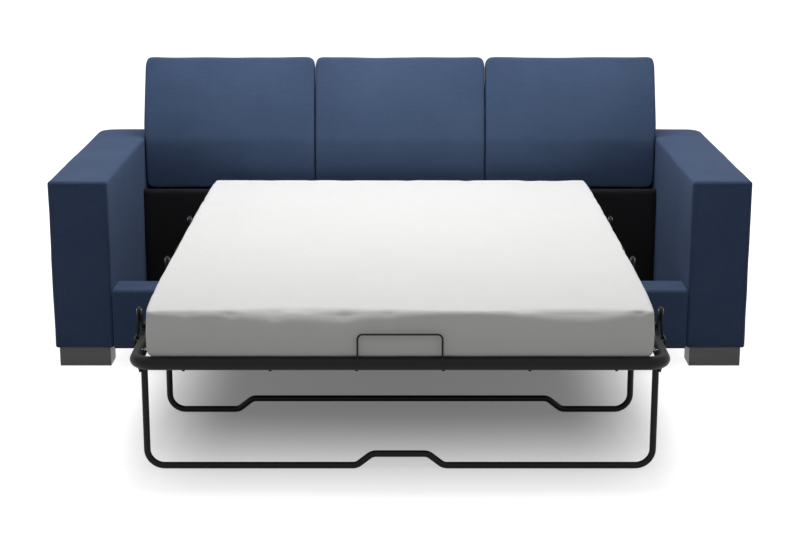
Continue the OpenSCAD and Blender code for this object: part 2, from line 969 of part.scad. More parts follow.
arm_frame(-1);  // arm_frame_left
arm_frame(1);  // arm_frame_right
arm_cover(-1);  // arm_cover_left
arm_cover(1);  // arm_cover_right
front_rail_frame();
front_rail_cover();
side_support(-1);  // side_support_left
side_support(1);  // side_support_right
rear_rail();
dust_cover();
back_frame();
back_cover();
back_liner();
back_slope_liner();
back_cushion(0);  // back_cushion_left
back_cushion(1);  // back_cushion_middle
back_cushion(2);  // back_cushion_right
foot(-1, false);  // foot_front_left
foot(1, false);  // foot_front_right
foot(-1, true);  // foot_rear_left
foot(1, true);  // foot_rear_right
foot_screws();
bracket(-1);  // bracket_left
bracket(1);  // bracket_right
bracket_bolts();
rear_rail_tube(-1);  // rear_rail_tube_left
rear_rail_tube(1);  // rear_rail_tube_right
rear_cross_tubes();
deck(rear_deck_a(), rear_deck_b());  // rear_deck
side_springs(rear_deck_a(), rear_deck_b());  // rear_springs
rear_hinge_plates();
hinge_pins(head_hinge_y);  // head_hinge_pins
mattress_rear();
side_tube(-1, seat_deck_a(), seat_deck_b());  // seat_tube_left
side_tube(1, seat_deck_a(), seat_deck_b());  // seat_tube_right
seat_cross_tubes();
deck(seat_deck_a(), seat_deck_b());  // seat_deck
side_springs(seat_deck_a(), seat_deck_b());  // seat_springs
seat_hinge_plates();
hinge_pins(-seat_hinge_y);  // seat_hinge_pins
leg_brackets(-mid_leg_y);  // seat_leg_brackets
mattress_seat();
foot_tube();
cross_tube(-cross_set() - foot_hinge_y);  // foot_cross_tube
foot_deck();
foot_springs();
foot_hooks();
foot_hinge_plates();
hinge_pins(-foot_hinge_y);  // foot_hinge_pins
leg_brackets(-front_leg_y);  // foot_leg_brackets
retainer_bar();
mattress_foot();
leg(-front_leg_y, front_raise_half);  // front_leg
leg_pins(-front_leg_y);  // front_leg_pins
leg(-mid_leg_y, mid_raise_half);  // mid_leg
leg_pins(-mid_leg_y);  // mid_leg_pins
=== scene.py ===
import math

import bmesh
import bpy
from mathutils import Matrix, Vector, noise


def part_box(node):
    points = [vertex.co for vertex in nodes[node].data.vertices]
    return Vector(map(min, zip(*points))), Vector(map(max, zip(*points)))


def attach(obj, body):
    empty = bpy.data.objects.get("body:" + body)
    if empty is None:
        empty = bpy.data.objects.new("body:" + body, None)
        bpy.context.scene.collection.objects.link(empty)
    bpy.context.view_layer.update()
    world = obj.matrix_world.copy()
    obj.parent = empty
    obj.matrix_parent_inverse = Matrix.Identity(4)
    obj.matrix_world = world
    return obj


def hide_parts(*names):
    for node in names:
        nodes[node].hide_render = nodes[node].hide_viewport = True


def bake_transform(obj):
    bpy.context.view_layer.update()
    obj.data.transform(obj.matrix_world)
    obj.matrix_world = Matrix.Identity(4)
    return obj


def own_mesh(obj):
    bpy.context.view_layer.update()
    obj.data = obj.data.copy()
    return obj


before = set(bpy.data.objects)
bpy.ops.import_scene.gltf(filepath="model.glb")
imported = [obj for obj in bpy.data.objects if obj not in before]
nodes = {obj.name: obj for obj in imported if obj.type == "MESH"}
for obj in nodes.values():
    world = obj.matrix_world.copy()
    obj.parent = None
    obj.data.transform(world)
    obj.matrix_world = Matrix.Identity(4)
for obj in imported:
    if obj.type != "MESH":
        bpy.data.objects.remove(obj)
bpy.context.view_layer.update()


# Timber frames of the arms, the front rail and the back: sawn softwood boards, screwed together
# and hidden by the covers, but open to view from below. The rear rail of the seat box is the same.

FLOAT, COLOUR = "NodeSocketFloat", "NodeSocketColor"
FINISH_OUTPUTS = [("Color", COLOUR), ("Roughness", FLOAT), ("Height", FLOAT)]


def new_material(name, **sockets):
    """A material with its Principled shader, whose constant sockets are set here."""
    material = bpy.data.materials.new(name)
    material.use_nodes = True
    shader = material.node_tree.nodes["Principled BSDF"]
    for socket, value in sockets.items():
        shader.inputs[socket.replace("_", " ")].default_value = value
    return material, material.node_tree, shader


def new_group(name, inputs, outputs=FINISH_OUTPUTS):
    """A shader node group, with inputs given as (label, kind, value)."""
    group = bpy.data.node_groups.new(name, "ShaderNodeTree")
    for label, kind, value in inputs:
        socket = group.interface.new_socket(label, in_out="INPUT", socket_type=kind)
        socket.default_value = value
    for label, kind in outputs:
        group.interface.new_socket(label, in_out="OUTPUT", socket_type=kind)
    return group, group.nodes.new("NodeGroupInput"), group.nodes.new("NodeGroupOutput")


def add_node(tree, kind, links=None, **settings):
    """A node with its settings, and its inputs as {socket: another socket or a value}."""
    node = tree.nodes.new(kind)
    for key, value in settings.items():
        setattr(node, key, value)
    for socket, source in (links or {}).items():
        if isinstance(source, bpy.types.NodeSocket):
            tree.links.new(source, node.inputs[socket])
        else:
            node.inputs[socket].default_value = source
    return node


def mix_colour(tree, factor, first, second, blend="MIX"):
    """Mixes two colours, as sockets or values."""
    mix = add_node(
        tree, "ShaderNodeMix", {0: factor, 6: first, 7: second}, data_type="RGBA", blend_type=blend
    )
    return mix.outputs[2]


def math_of(tree, operation, first, second=0.5):
    """A maths node's result, from sockets or values."""
    return add_node(tree, "ShaderNodeMath", {0: first, 1: second}, operation=operation).outputs[0]


def noise_of(tree, vector, scale, detail=3.0, distortion=0.0):
    """Noise from 0 to 1 at the given coordinates."""
    links = {"Vector": vector, "Scale": scale, "Detail": detail, "Distortion": distortion}
    return add_node(tree, "ShaderNodeTexNoise", links).outputs["Fac"]


def range_of(tree, value, low, high, to_low, to_high, smooth=False):
    """The value, moved from one range to another and held inside it."""
    links = {"Value": value, "From Min": low, "From Max": high, "To Min": to_low, "To Max": to_high}
    node = add_node(tree, "ShaderNodeMapRange", links)
    if smooth:
        node.interpolation_type = "SMOOTHSTEP"
    return node.outputs[0]


def place_finish(tree, shader, group, bump, distance, **values):
    """Puts a finish group into a material, and joins its colour, roughness and height."""
    placed = tree.nodes.new("ShaderNodeGroup")
    placed.node_tree = group
    for label, value in values.items():
        placed.inputs[label.replace("_", " ")].default_value = value
    tree.links.new(placed.outputs["Color"], shader.inputs["Base Color"])
    tree.links.new(placed.outputs["Roughness"], shader.inputs["Roughness"])
    links = {"Strength": bump, "Distance": distance, "Height": placed.outputs["Height"]}
    raised = add_node(tree, "ShaderNodeBump", links)
    tree.links.new(raised.outputs["Normal"], shader.inputs["Normal"])


def stretched(tree, scale):
    """Object coordinates, scaled along each axis."""
    where = add_node(tree, "ShaderNodeTexCoord").outputs["Object"]
    mapping = add_node(tree, "ShaderNodeMapping", {"Vector": where})
    mapping.inputs["Scale"].default_value = scale
    return mapping.outputs[0]


def paint(material, *names):
    """Gives CAD nodes a material."""
    for name in names:
        mesh = nodes[name].data
        mesh.materials.clear()
        mesh.materials.append(material)


grain, grain_in, grain_out = new_group(
    "wood_grain",
    [("Light", COLOUR, (0.5, 0.36, 0.2, 1)), ("Dark", COLOUR, (0.3, 0.2, 0.1, 1)),
     ("Ring Scale", FLOAT, 40.0), ("Rough", FLOAT, 0.6)],
)
along = stretched(grain, (0.1, 1.0, 0.6))
year_rings = noise_of(grain, along, grain_in.outputs["Ring Scale"], 5.0, 0.6)
pores = noise_of(grain, along, 600.0, 2.0)
wood_tone = mix_colour(
    grain, range_of(grain, year_rings, 0.35, 0.7, 0.0, 1.0),
    grain_in.outputs["Light"], grain_in.outputs["Dark"],
)
wood_tone = mix_colour(grain, 0.35, wood_tone, pores, "SOFT_LIGHT")
grain.links.new(wood_tone, grain_out.inputs["Color"])
rougher = math_of(grain, "MULTIPLY", pores, 0.25)
grain.links.new(
    math_of(grain, "ADD", grain_in.outputs["Rough"], rougher), grain_out.inputs["Roughness"]
)
grain.links.new(math_of(grain, "ADD", year_rings, pores), grain_out.inputs["Height"])

softwood, tree, shader = new_material("sawn_softwood")
place_finish(
    tree, shader, grain, bump=0.25, distance=0.001,
    Light=(0.58, 0.41, 0.23, 1), Dark=(0.36, 0.22, 0.11, 1), Ring_Scale=38.0, Rough=0.6,
)
paint(softwood, "arm_frame_left", "arm_frame_right", "front_rail_frame", "rear_rail", "back_frame")


# Block feet under the arms' four corners: hardwood blocks, stained nearly black and lacquered.
# Two countersunk zinc plated screws hold each one to the arm's bottom board.

stained_wood, tree, shader = new_material("stained_foot_wood", Coat_Weight=0.25, Coat_Roughness=0.3)
place_finish(
    tree, shader, grain, bump=0.15, distance=0.0006,
    Light=(0.034, 0.033, 0.034, 1), Dark=(0.018, 0.017, 0.018, 1), Ring_Scale=70.0, Rough=0.36,
)
paint(stained_wood, "foot_front_left", "foot_front_right", "foot_rear_left", "foot_rear_right")

metal, metal_in, metal_out = new_group(
    "metal_surface",
    [("Tone", COLOUR, (0.5, 0.5, 0.5, 1)), ("Worn", COLOUR, (0.6, 0.6, 0.6, 1)),
     ("Rough", FLOAT, 0.35), ("Speckle Scale", FLOAT, 900.0), ("Wear", FLOAT, 0.2)],
)
where = stretched(metal, (1.0, 1.0, 1.0))
speckle = noise_of(metal, where, metal_in.outputs["Speckle Scale"], 2.0)
cloudy = noise_of(metal, where, 14.0, 4.0)
worn_mask = math_of(
    metal, "MULTIPLY", range_of(metal, cloudy, 0.55, 0.75, 0.0, 1.0), metal_in.outputs["Wear"]
)
metal.links.new(
    mix_colour(metal, worn_mask, metal_in.outputs["Tone"], metal_in.outputs["Worn"]),
    metal_out.inputs["Color"],
)
uneven = math_of(metal, "MULTIPLY", cloudy, 0.16)
metal.links.new(
    math_of(metal, "ADD", metal_in.outputs["Rough"], uneven), metal_out.inputs["Roughness"]
)
metal.links.new(speckle, metal_out.inputs["Height"])

zinc, tree, shader = new_material("zinc_plate", Metallic=1.0)
place_finish(
    tree, shader, metal, bump=0.08, distance=0.0003,
    Tone=(0.62, 0.62, 0.6, 1), Worn=(0.42, 0.42, 0.4, 1),
    Rough=0.28, Speckle_Scale=500.0, Wear=0.5,
)
paint(zinc, "foot_screws", "bracket_bolts")


# Upholstered arms: plain woven cloth pulled tight over wadding and the timber, with a seam
# round the front panel where it meets the long panel that runs over the arm's sides and top.

weave, weave_in, weave_out = new_group(
    "plain_weave",
    [("Thread", COLOUR, (0.05, 0.07, 0.13, 1)), ("Slub", COLOUR, (0.08, 0.11, 0.18, 1)),
     ("Pitch", FLOAT, 500.0), ("Rough", FLOAT, 0.9), ("Mottle", FLOAT, 0.4)],
)
where = stretched(weave, (1.0, 1.0, 1.0))
facing = add_node(weave, "ShaderNodeTexCoord").outputs["Normal"]
facing = add_node(weave, "ShaderNodeSeparateXYZ", {0: facing})
threads = 0.0
for direction in ("X", "Y", "Z"):
    # A thread direction shows only on faces that it doesn't point out of
    links = {"Vector": where, "Scale": weave_in.outputs["Pitch"], "Distortion": 0.8, "Detail": 1.0}
    band = add_node(weave, "ShaderNodeTexWave", links, wave_type="BANDS", bands_direction=direction)
    outward = math_of(weave, "ABSOLUTE", facing.outputs[direction])
    lying = range_of(weave, outward, 0.5, 0.9, 1.0, 0.0)
    threads = math_of(weave, "ADD", threads, math_of(weave, "MULTIPLY", band.outputs["Fac"], lying))
fuzz = noise_of(weave, where, 900.0, 3.0)
along_thread = noise_of(weave, stretched(weave, (6.0, 6.0, 160.0)), 3.0, 3.0)
across_thread = noise_of(weave, stretched(weave, (160.0, 60.0, 6.0)), 3.0, 3.0)
slubs = math_of(weave, "MULTIPLY", along_thread, across_thread)
patches = noise_of(weave, where, 5.0, 4.0, 0.4)
mottled = math_of(weave, "ADD", math_of(weave, "MULTIPLY", slubs, 2.0), patches)
slub_mask = math_of(
    weave, "MULTIPLY", range_of(weave, mottled, 0.6, 1.5, 0.0, 1.0), weave_in.outputs["Mottle"]
)
cloth_tone = mix_colour(weave, slub_mask, weave_in.outputs["Thread"], weave_in.outputs["Slub"])
between = range_of(weave, threads, 0.2, 1.8, 0.86, 1.06)
cloth_tone = mix_colour(weave, 1.0, cloth_tone, between, "MULTIPLY")
weave.links.new(cloth_tone, weave_out.inputs["Color"])
weave.links.new(
    math_of(weave, "SUBTRACT", weave_in.outputs["Rough"], math_of(weave, "MULTIPLY", fuzz, 0.12)),
    weave_out.inputs["Roughness"],
)
weave.links.new(math_of(weave, "ADD", threads, fuzz), weave_out.inputs["Height"])


def cloth_material(name, thread, slub, pitch, mottle, bump, sheen=0.12, tint=(0.4, 0.55, 0.9, 1)):
    """A plain weave of thread colour with slub coloured flecks, and a sheen at glancing angles."""
    material, tree, shader = new_material(
        name, Sheen_Weight=sheen, Sheen_Roughness=0.45, Sheen_Tint=tint, Specular_IOR_Level=0.25
    )
    place_finish(
        tree, shader, weave, bump, distance=0.0007,
        Thread=thread, Slub=slub, Pitch=pitch, Rough=0.92, Mottle=mottle,
    )
    return material


# The arms' cloth is kept darker than the cushions' copy of the same cloth: painted shade, for the
# darker inner sides of the arms and the front rail's top
blue_cloth = cloth_material(
    "blue_upholstery", (0.026, 0.047, 0.102, 1), (0.047, 0.077, 0.146, 1),
    pitch=520.0, mottle=0.55, bump=0.3,
)


def rounded_outline(low, high, radii, step=0.03):
    """A rectangle with rounded corners, for outline_loop. It is cut up along its sides by step.
    The radii are for the corners (low x low y), (high low), (high high) and (low high)."""
    (x0, y0), (x1, y1) = low, high
    centres = [(x0, y0, 1, 1), (x1, y0, -1, 1), (x1, y1, -1, -1), (x0, y1, 1, -1)]
    counts = [max(2, round((x1 - x0) / step)), max(2, round((y1 - y0) / step))] * 2
    return centres, counts, radii


def outline_loop(outline, inset, lift=0.0):
    """The outline's points, anticlockwise from its low corner and moved inwards by inset."""
    centres, counts, radii = outline
    corner_steps = 6
    corners = []
    for i, (x, y, sx, sy) in enumerate(centres):
        r = max(radii[i] - inset, 0.0006)
        cx, cy = x + sx * (inset + r), y + sy * (inset + r)
        start = math.pi * (1.0 + 0.5 * i)
        arc = []
        for k in range(corner_steps + 1):
            angle = start + 0.5 * math.pi * k / corner_steps
            arc.append(Vector((cx + r * math.cos(angle), cy + r * math.sin(angle), lift)))
        corners.append(arc)
    loop = []
    for i in range(4):
        loop += corners[i]
        leaving, arriving = corners[i][-1], corners[(i + 1) % 4][0]
        loop += [leaving.lerp(arriving, k / counts[i]) for k in range(1, counts[i])]
    return loop


def mesh_object(name, bm, material):
    """An object from a bmesh, with smooth faces."""
    bmesh.ops.recalc_face_normals(bm, faces=bm.faces)
    mesh = bpy.data.meshes.new(name)
    bm.to_mesh(mesh)
    bm.free()
    for polygon in mesh.polygons:
        polygon.use_smooth = True
    mesh.materials.append(material)
    obj = bpy.data.objects.new(name, mesh)
    bpy.context.scene.collection.objects.link(obj)
    return obj


def add_skin(bm, rows):
    """Faces between rows of vertices, where every row is a ring of the same count."""
    count = len(rows[0])
    for row, following in zip(rows, rows[1:]):
        for k in range(count):
            n = (k + 1) % count
            bm.faces.new((row[k], row[n], following[n], following[k]))


def loft(loops):
    """A bmesh skin over loops of equal length, with its end loops filled."""
    bm = bmesh.new()
    rows = [[bm.verts.new(point) for point in loop] for loop in loops]
    add_skin(bm, rows)
    bm.faces.new(list(reversed(rows[0])))
    bm.faces.new(rows[-1])
    return bm


def cushioned_profile(height, edge, reach):
    """(inset, height) pairs from under the bottom edge, up the wall, over the rounded top edge
    and in over the flat top as far as reach."""
    bottom_edge, cuts = 0.004, 5
    profile = [(0.02, 0.0), (bottom_edge, 0.0), (0.0, bottom_edge)]
    wall = height - edge
    steps = max(2, round(wall / 0.05))
    profile += [(0.0, bottom_edge + (wall - bottom_edge) * k / steps) for k in range(1, steps + 1)]
    for k in range(1, cuts + 1):
        angle = 0.5 * math.pi * k / cuts
        profile.append((edge - edge * math.cos(angle), wall + edge * math.sin(angle)))
    inner = profile[-1][0]
    profile += [(inner + (reach - inner) * k / cuts, height) for k in range(1, cuts + 1)]
    return profile


def soft_noise(point, scale, seed):
    """Smooth noise from -1 to 1, another pattern for each seed."""
    return noise.noise(Vector(point) * scale + Vector((seed, 1.7 * seed, -seed)))


def add_ring(bm, centre, radius, across, up, sides):
    """A ring of vertices round a centre, in the plane of across and up."""
    angles = [2 * math.pi * k / sides for k in range(sides)]
    return [
        bm.verts.new(centre + radius * (across * math.cos(angle) + up * math.sin(angle)))
        for angle in angles
    ]


def welt(name, points, radius, material):
    """A thin stitched seam ridge along a closed line, as a mesh tube."""
    bm = bmesh.new()
    rows = []
    for i, point in enumerate(points):
        direction = (points[(i + 1) % len(points)] - points[i - 1]).normalized()
        across = direction.cross(Vector((0.3, 1.0, 0.2))).normalized()
        rows.append(add_ring(bm, point, radius, across, across.cross(direction), sides=8))
    add_skin(bm, rows + rows[:1])
    return mesh_object(name, bm, material)


ARM_EDGE, ARM_REAR_CORNER = 0.01, 0.06
SEAM_INSET, SEAM_RADIUS = 0.0085, 0.0016

for side, name in ((-1, "arm_cover_left"), (1, "arm_cover_right")):
    low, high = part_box(name)
    rear_radii = [ARM_REAR_CORNER, ARM_EDGE] if side > 0 else [ARM_EDGE, ARM_REAR_CORNER]
    outline = rounded_outline(low[:2], high[:2], [ARM_EDGE, ARM_EDGE] + rear_radii)
    loops = [
        outline_loop(outline, inset, low[2] + z)
        for inset, z in cushioned_profile(high[2] - low[2], ARM_EDGE, 0.088)
    ]
    bm = loft(loops)
    middle = (low[0] + high[0]) / 2
    for v in bm.verts:
        # The wadding is slightly uneven on the two long sides and on the top
        uneven = 0.0016 * soft_noise(v.co, 7.0, 3 + side)
        uneven += 0.0008 * soft_noise(v.co, 25.0, 9 + side)
        out = Vector()
        if v.co.z > high[2] - 0.004:
            out = Vector((0, 0, 1))
        elif abs(v.co.x - middle) > 0.07:
            out = Vector((v.co.x - middle, 0, 0)).normalized()
        v.co += out * uneven
    cover = mesh_object("upholstered_" + name, bm, blue_cloth)
    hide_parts(name)
    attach(cover, "sofa")
    # The seam stands just proud of the front panel's edge
    panel = rounded_outline(
        (low[0] + SEAM_INSET, low[2] + 0.004), (high[0] - SEAM_INSET, high[2] - SEAM_INSET),
        [0.004, 0.004, 0.01, 0.01],
    )
    line = [Vector((p.x, low[1] + 0.0004, p.y)) for p in outline_loop(panel, 0.0)]
    seam_name = "front_panel_seam_" + ("right" if side > 0 else "left")
    seam = welt(seam_name, line, SEAM_RADIUS, blue_cloth)
    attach(seam, "sofa")


# Front rail between the arms: a timber box under wadding, with the same blue cloth pulled over
# its rounded top and stapled underneath.

low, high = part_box("front_rail_cover")
outline = rounded_outline(low[:2], high[:2], [0.004] * 4, step=0.02)
rail_edge, rail_reach = 0.012, 0.06
loops = []
for inset, z in cushioned_profile(high[2] - low[2], rail_edge, rail_reach):
    # The ends stay flat against the arms, so only the front and the rear draw in
    loop = outline_loop(outline, inset, low[2] + z)
    for point in loop:
        widened = (high[0] - 0.004) / (high[0] - inset - 0.0006) if inset > 0.004 else 1.0
        point.x = max(low[0], min(high[0], point.x * widened))
    loops.append(loop)
bm = loft(loops)
for v in bm.verts:
    v.co.y += 0.0022 * soft_noise(v.co, 6.0, 21)
    if v.co.z > high[2] - 0.02:
        v.co.z += 0.0022 * soft_noise(v.co, 5.0, 23) - 0.001
front_rail = mesh_object("upholstered_front_rail", bm, blue_cloth)
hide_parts("front_rail_cover")
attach(front_rail, "sofa")


# Seat box: two boards beside the bed on edge, wrapped in black lining cloth like the panel under
# the cushions, and a thin dust cover stapled underneath.

lining_cloth = cloth_material(
    "black_lining", (0.006, 0.006, 0.0075, 1), (0.012, 0.012, 0.014, 1),
    pitch=700.0, mottle=0.5, bump=0.3, sheen=0.05, tint=(0.5, 0.5, 0.5, 1),
)
paint(lining_cloth, "side_support_left", "side_support_right", "dust_cover", "back_slope_liner")


def soften_edges(name, width, segments=3):
    """Rounds a CAD node's sharp edges with a small bevel."""
    bevel = nodes[name].modifiers.new("soft_edges", "BEVEL")
    bevel.width = width
    bevel.segments = segments
    bevel.limit_method = "ANGLE"
    bevel.angle_limit = math.radians(50)


for name in ("side_support_left", "side_support_right"):
    soften_edges(name, 0.003)


def stretched_sheet(name, low, high, columns, rows, ripple, seed):
    """A thin upright panel facing the foot of the bed, with slack waves in its cloth."""
    bm = bmesh.new()
    grids = []
    for depth in (low[1], high[1]):
        grid = []
        for j in range(rows + 1):
            line = []
            for i in range(columns + 1):
                u, v = i / columns, j / rows
                x = low[0] + (high[0] - low[0]) * u
                z = low[2] + (high[2] - low[2]) * v
                slack = math.sin(math.pi * u) ** 0.5 * math.sin(math.pi * v) ** 0.5
                wave = ripple * slack * soft_noise((x, 0, 0.4 * z), 9.0, seed)
                line.append(bm.verts.new((x, depth + wave, z)))
            grid.append(line)
        grids.append(grid)
    near, far = grids
    for j in range(rows):
        for i in range(columns):
            bm.faces.new((near[j][i], near[j][i + 1], near[j + 1][i + 1], near[j + 1][i]))
            bm.faces.new((far[j][i], far[j + 1][i], far[j + 1][i + 1], far[j][i + 1]))
    rim = [(0, i) for i in range(columns)] + [(j, columns) for j in range(rows)]
    rim += [(rows, i) for i in range(columns, 0, -1)] + [(j, 0) for j in range(rows, 0, -1)]
    for (row, column), (j, i) in zip(rim, rim[1:] + rim[:1]):
        bm.faces.new((near[row][column], far[row][column], far[j][i], near[j][i]))
    return mesh_object(name, bm, lining_cloth)


low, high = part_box("back_liner")
liner = stretched_sheet(
    "back_lining_panel", low, high, columns=90, rows=20, ripple=0.004, seed=31
)
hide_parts("back_liner")
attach(liner, "sofa")


# Back: one panel of blue cloth over wadding, closed over the top and down both sides of the
# timber back. Its front side slopes above the knee, and the cushions lean on it there.

low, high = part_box("back_cover")
liner_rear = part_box("back_liner")[1][1]
panel_front = liner_rear + 0.0005
lean = math.radians(14)
knee_z = 0.4
top_front = high[1] - 0.036
section = [
    (panel_front, low[2]), (high[1], low[2]), (high[1], high[2]),
    (top_front, high[2]), (top_front - math.tan(lean) * (high[2] - knee_z), knee_z),
    (panel_front, knee_z),
]


def rounded_section(points, radius, steps=4):
    """Closed polygon of (y, z) points with rounded corners."""
    rounded = []
    count = len(points)
    for i in range(count):
        p = Vector(points[i])
        before = (Vector(points[i - 1]) - p).normalized()
        after = (Vector(points[(i + 1) % count]) - p).normalized()
        first, last = p + before * radius, p + after * radius
        for k in range(steps + 1):
            t = k / steps
            rounded.append(first.lerp(p, t).lerp(p.lerp(last, t), t))
    return rounded


def filled_section(points, spacing=0.04):
    """The same polygon with its long sides cut into short ones."""
    dense = []
    for point, following in zip(points, points[1:] + points[:1]):
        cuts = max(1, round((following - point).length / spacing))
        dense += [point.lerp(following, k / cuts) for k in range(cuts)]
    return dense


ring_points = filled_section(rounded_section(section, radius=0.008))
loops = []
columns = 46
for i in range(columns + 1):
    x = low[0] + (high[0] - low[0]) * i / columns
    loops.append([Vector((x, p.x, p.y)) for p in ring_points])
bm = loft(loops)
for v in bm.verts:
    inside = min(v.co.x - low[0], high[0] - v.co.x) > 0.02
    if v.co.y > high[1] - 0.002 and inside:
        v.co.y -= 0.001 + 0.0015 * (1 + soft_noise(v.co, 4.0, 41))
    if v.co.z > high[2] - 0.002 and inside:
        v.co.z += 0.002 * soft_noise(v.co, 4.0, 43)
back_panel = mesh_object("upholstered_back_panel", bm, blue_cloth)
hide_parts("back_cover")
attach(back_panel, "sofa")


# Back cushions: box-edged cases of blue cloth filled with fibre, sewn from a front and a rear
# panel and a strip between them. They lean on the timber back and are fixed to it.

# The cushions' cloth is the same blue cloth made lighter: painted light, for the brighter light
# that the cushions' fronts catch
cushion_cloth_painted_lighter = cloth_material(
    "blue_cloth_painted_lighter", (0.045, 0.078, 0.156, 1), (0.08, 0.124, 0.22, 1),
    pitch=520.0, mottle=0.6, bump=0.3,
)
CUSHION_DEPTH, CUSHION_HEIGHT = 0.135, 0.475
# The case before it is filled: its depth, the corner radius and how far its seams are creased
START_DEPTH, CASE_CORNER, SEAM_CREASE = 0.084, 0.017, 0.45
# Height of the bands that a filled cushion's width is measured in
BAND = 0.034


def unit(value):
    """The value, held between 0 and 1."""
    return max(0.0, min(1.0, value))


def boxed_case(xs, ys, zs, corner):
    """A closed box of quads on grid lines, centred across, whose four upright edges are rounded.
    Returns its bmesh and the vertices by (column, row, level)."""
    bm = bmesh.new()
    vertices = {}
    half_x, half_y = xs[-1], (ys[-1] - ys[0]) / 2
    mid_y = (ys[-1] + ys[0]) / 2
    nx, ny, nz = len(xs) - 1, len(ys) - 1, len(zs) - 1

    def vertex(i, j, k):
        if (i, j, k) not in vertices:
            x, y = xs[i], ys[j] - mid_y
            u = (abs(x) - (half_x - corner)) / corner
            v = (abs(y) - (half_y - corner)) / corner
            if u > 0 and v > 0:
                x = math.copysign(half_x - corner + corner * u * math.sqrt(1 - v * v / 2), x)
                y = math.copysign(half_y - corner + corner * v * math.sqrt(1 - u * u / 2), y)
            vertices[i, j, k] = bm.verts.new((x, y + mid_y, zs[k]))
        return vertices[i, j, k]

    for i in range(nx):
        for j in range(ny):
            for k in (0, nz):
                bm.faces.new([vertex(*p) for p in (
                    (i, j, k), (i + 1, j, k), (i + 1, j + 1, k), (i, j + 1, k))])
    for k in range(nz):
        for i in range(nx):
            for j in (0, ny):
                bm.faces.new([vertex(*p) for p in (
                    (i, j, k), (i + 1, j, k), (i + 1, j, k + 1), (i, j, k + 1))])
        for j in range(ny):
            for i in (0, nx):
                bm.faces.new([vertex(*p) for p in (
                    (i, j, k), (i, j + 1, k), (i, j + 1, k + 1), (i, j, k + 1))])
    bm.verts.index_update()
    return bm, vertices


def even(low, high, spacing):
    """Places from low to high, about spacing apart."""
    count = max(1, round((high - low) / spacing))
    return [low + (high - low) * k / count for k in range(count + 1)]


def cushion_shell(width, seed):
    """A cushion lying on its rear panel: X across, Y up its face and Z out of its front. Returns
    its bmesh and which vertices are on its two seams."""
    margin, spacing = 0.003, 0.0155
    half_w = width / 2
    xs = even(-half_w, half_w, spacing)
    ys = even(margin, CUSHION_HEIGHT - margin, spacing)
    zs = even(-START_DEPTH / 2, START_DEPTH / 2, 0.0165)
    bm, vertices = boxed_case(xs, ys, zs, CASE_CORNER)
    crease = bm.edges.layers.float.new("crease_edge")
    pinned = set()
    nx, ny, nz = len(xs) - 1, len(ys) - 1, len(zs) - 1
    for (i, j, k), v in vertices.items():
        if k in (0, nz) and (i in (0, nx) or j in (0, ny)):
            pinned.add(v)
    for edge in bm.edges:
        if edge.verts[0] in pinned and edge.verts[1] in pinned:
            edge[crease] = SEAM_CREASE
    for v in bm.verts:
        # The sides draw in between the corners, and the top seam wanders a little
        u = v.co.x / half_w
        w = (v.co.y - CUSHION_HEIGHT / 2) / (CUSHION_HEIGHT / 2)
        across = abs(v.co.z) / (START_DEPTH / 2)
        v.co.x -= (0.0015 + 0.004 * across**2) * u
        v.co.y -= 0.003 * w * (1 - u * u)
        if w > 0.7:
            v.co.y += 0.004 * (w - 0.7) / 0.3 * soft_noise((v.co.x, 0, 0), 7.0, seed)
    return bm, [v.index for v in pinned]


def swell(obj, pinned, pressure, frames, limit):
    """Blows a case up with cloth simulation, holding its seams, then applies the result."""
    scene = bpy.context.scene
    mesh = obj.data
    seams = obj.vertex_groups.new(name="seams")
    seams.add(pinned, 1.0, "REPLACE")
    start = [v.co.copy() for v in mesh.vertices]
    cloth = obj.modifiers.new("filling", "CLOTH")
    cloth.settings.quality = 6
    cloth.settings.mass = 0.3
    cloth.settings.tension_stiffness = 12
    cloth.settings.compression_stiffness = 12
    cloth.settings.shear_stiffness = 6
    cloth.settings.bending_stiffness = 0.6
    cloth.settings.use_pressure = True
    cloth.settings.uniform_pressure_force = pressure
    cloth.settings.vertex_group_mass = "seams"
    cloth.settings.pin_stiffness = 1.0
    cloth.settings.effector_weights.gravity = 0.0
    cloth.collision_settings.use_collision = False
    cloth.point_cache.frame_start = 1
    cloth.point_cache.frame_end = frames
    scene.frame_set(1)
    for number in range(1, frames + 1):
        scene.frame_set(number)
    shaped = obj.evaluated_get(bpy.context.evaluated_depsgraph_get()).to_mesh()
    final = [v.co.copy() for v in shaped.vertices]
    obj.modifiers.clear()
    for v, before, after in zip(mesh.vertices, start, final):
        move = after - before
        if move.length > limit:
            move *= limit / move.length
        v.co = before + move
    obj.vertex_groups.clear()
    scene.frame_set(1)


def subdivide(obj):
    """Applies one level of subdivision surface."""
    surface = obj.modifiers.new("rounding", "SUBSURF")
    surface.levels = surface.render_levels = 1
    evaluated = obj.evaluated_get(bpy.context.evaluated_depsgraph_get())
    applied = bpy.data.meshes.new_from_object(evaluated)
    obj.modifiers.clear()
    obj.data = applied
    for polygon in applied.polygons:
        polygon.use_smooth = True


# How close to its ends a side keeps its width, and how far it presses into its neighbour
SEAM_ZONE, TOUCH = 0.03, 0.0008
# An outer cushion swells from here outwards, over this width
swell_from, swell_width = 0.22, 0.085
# Only what lies in front of this depth is thinned, so that the rear panel stays whole
flat_rear = -0.03

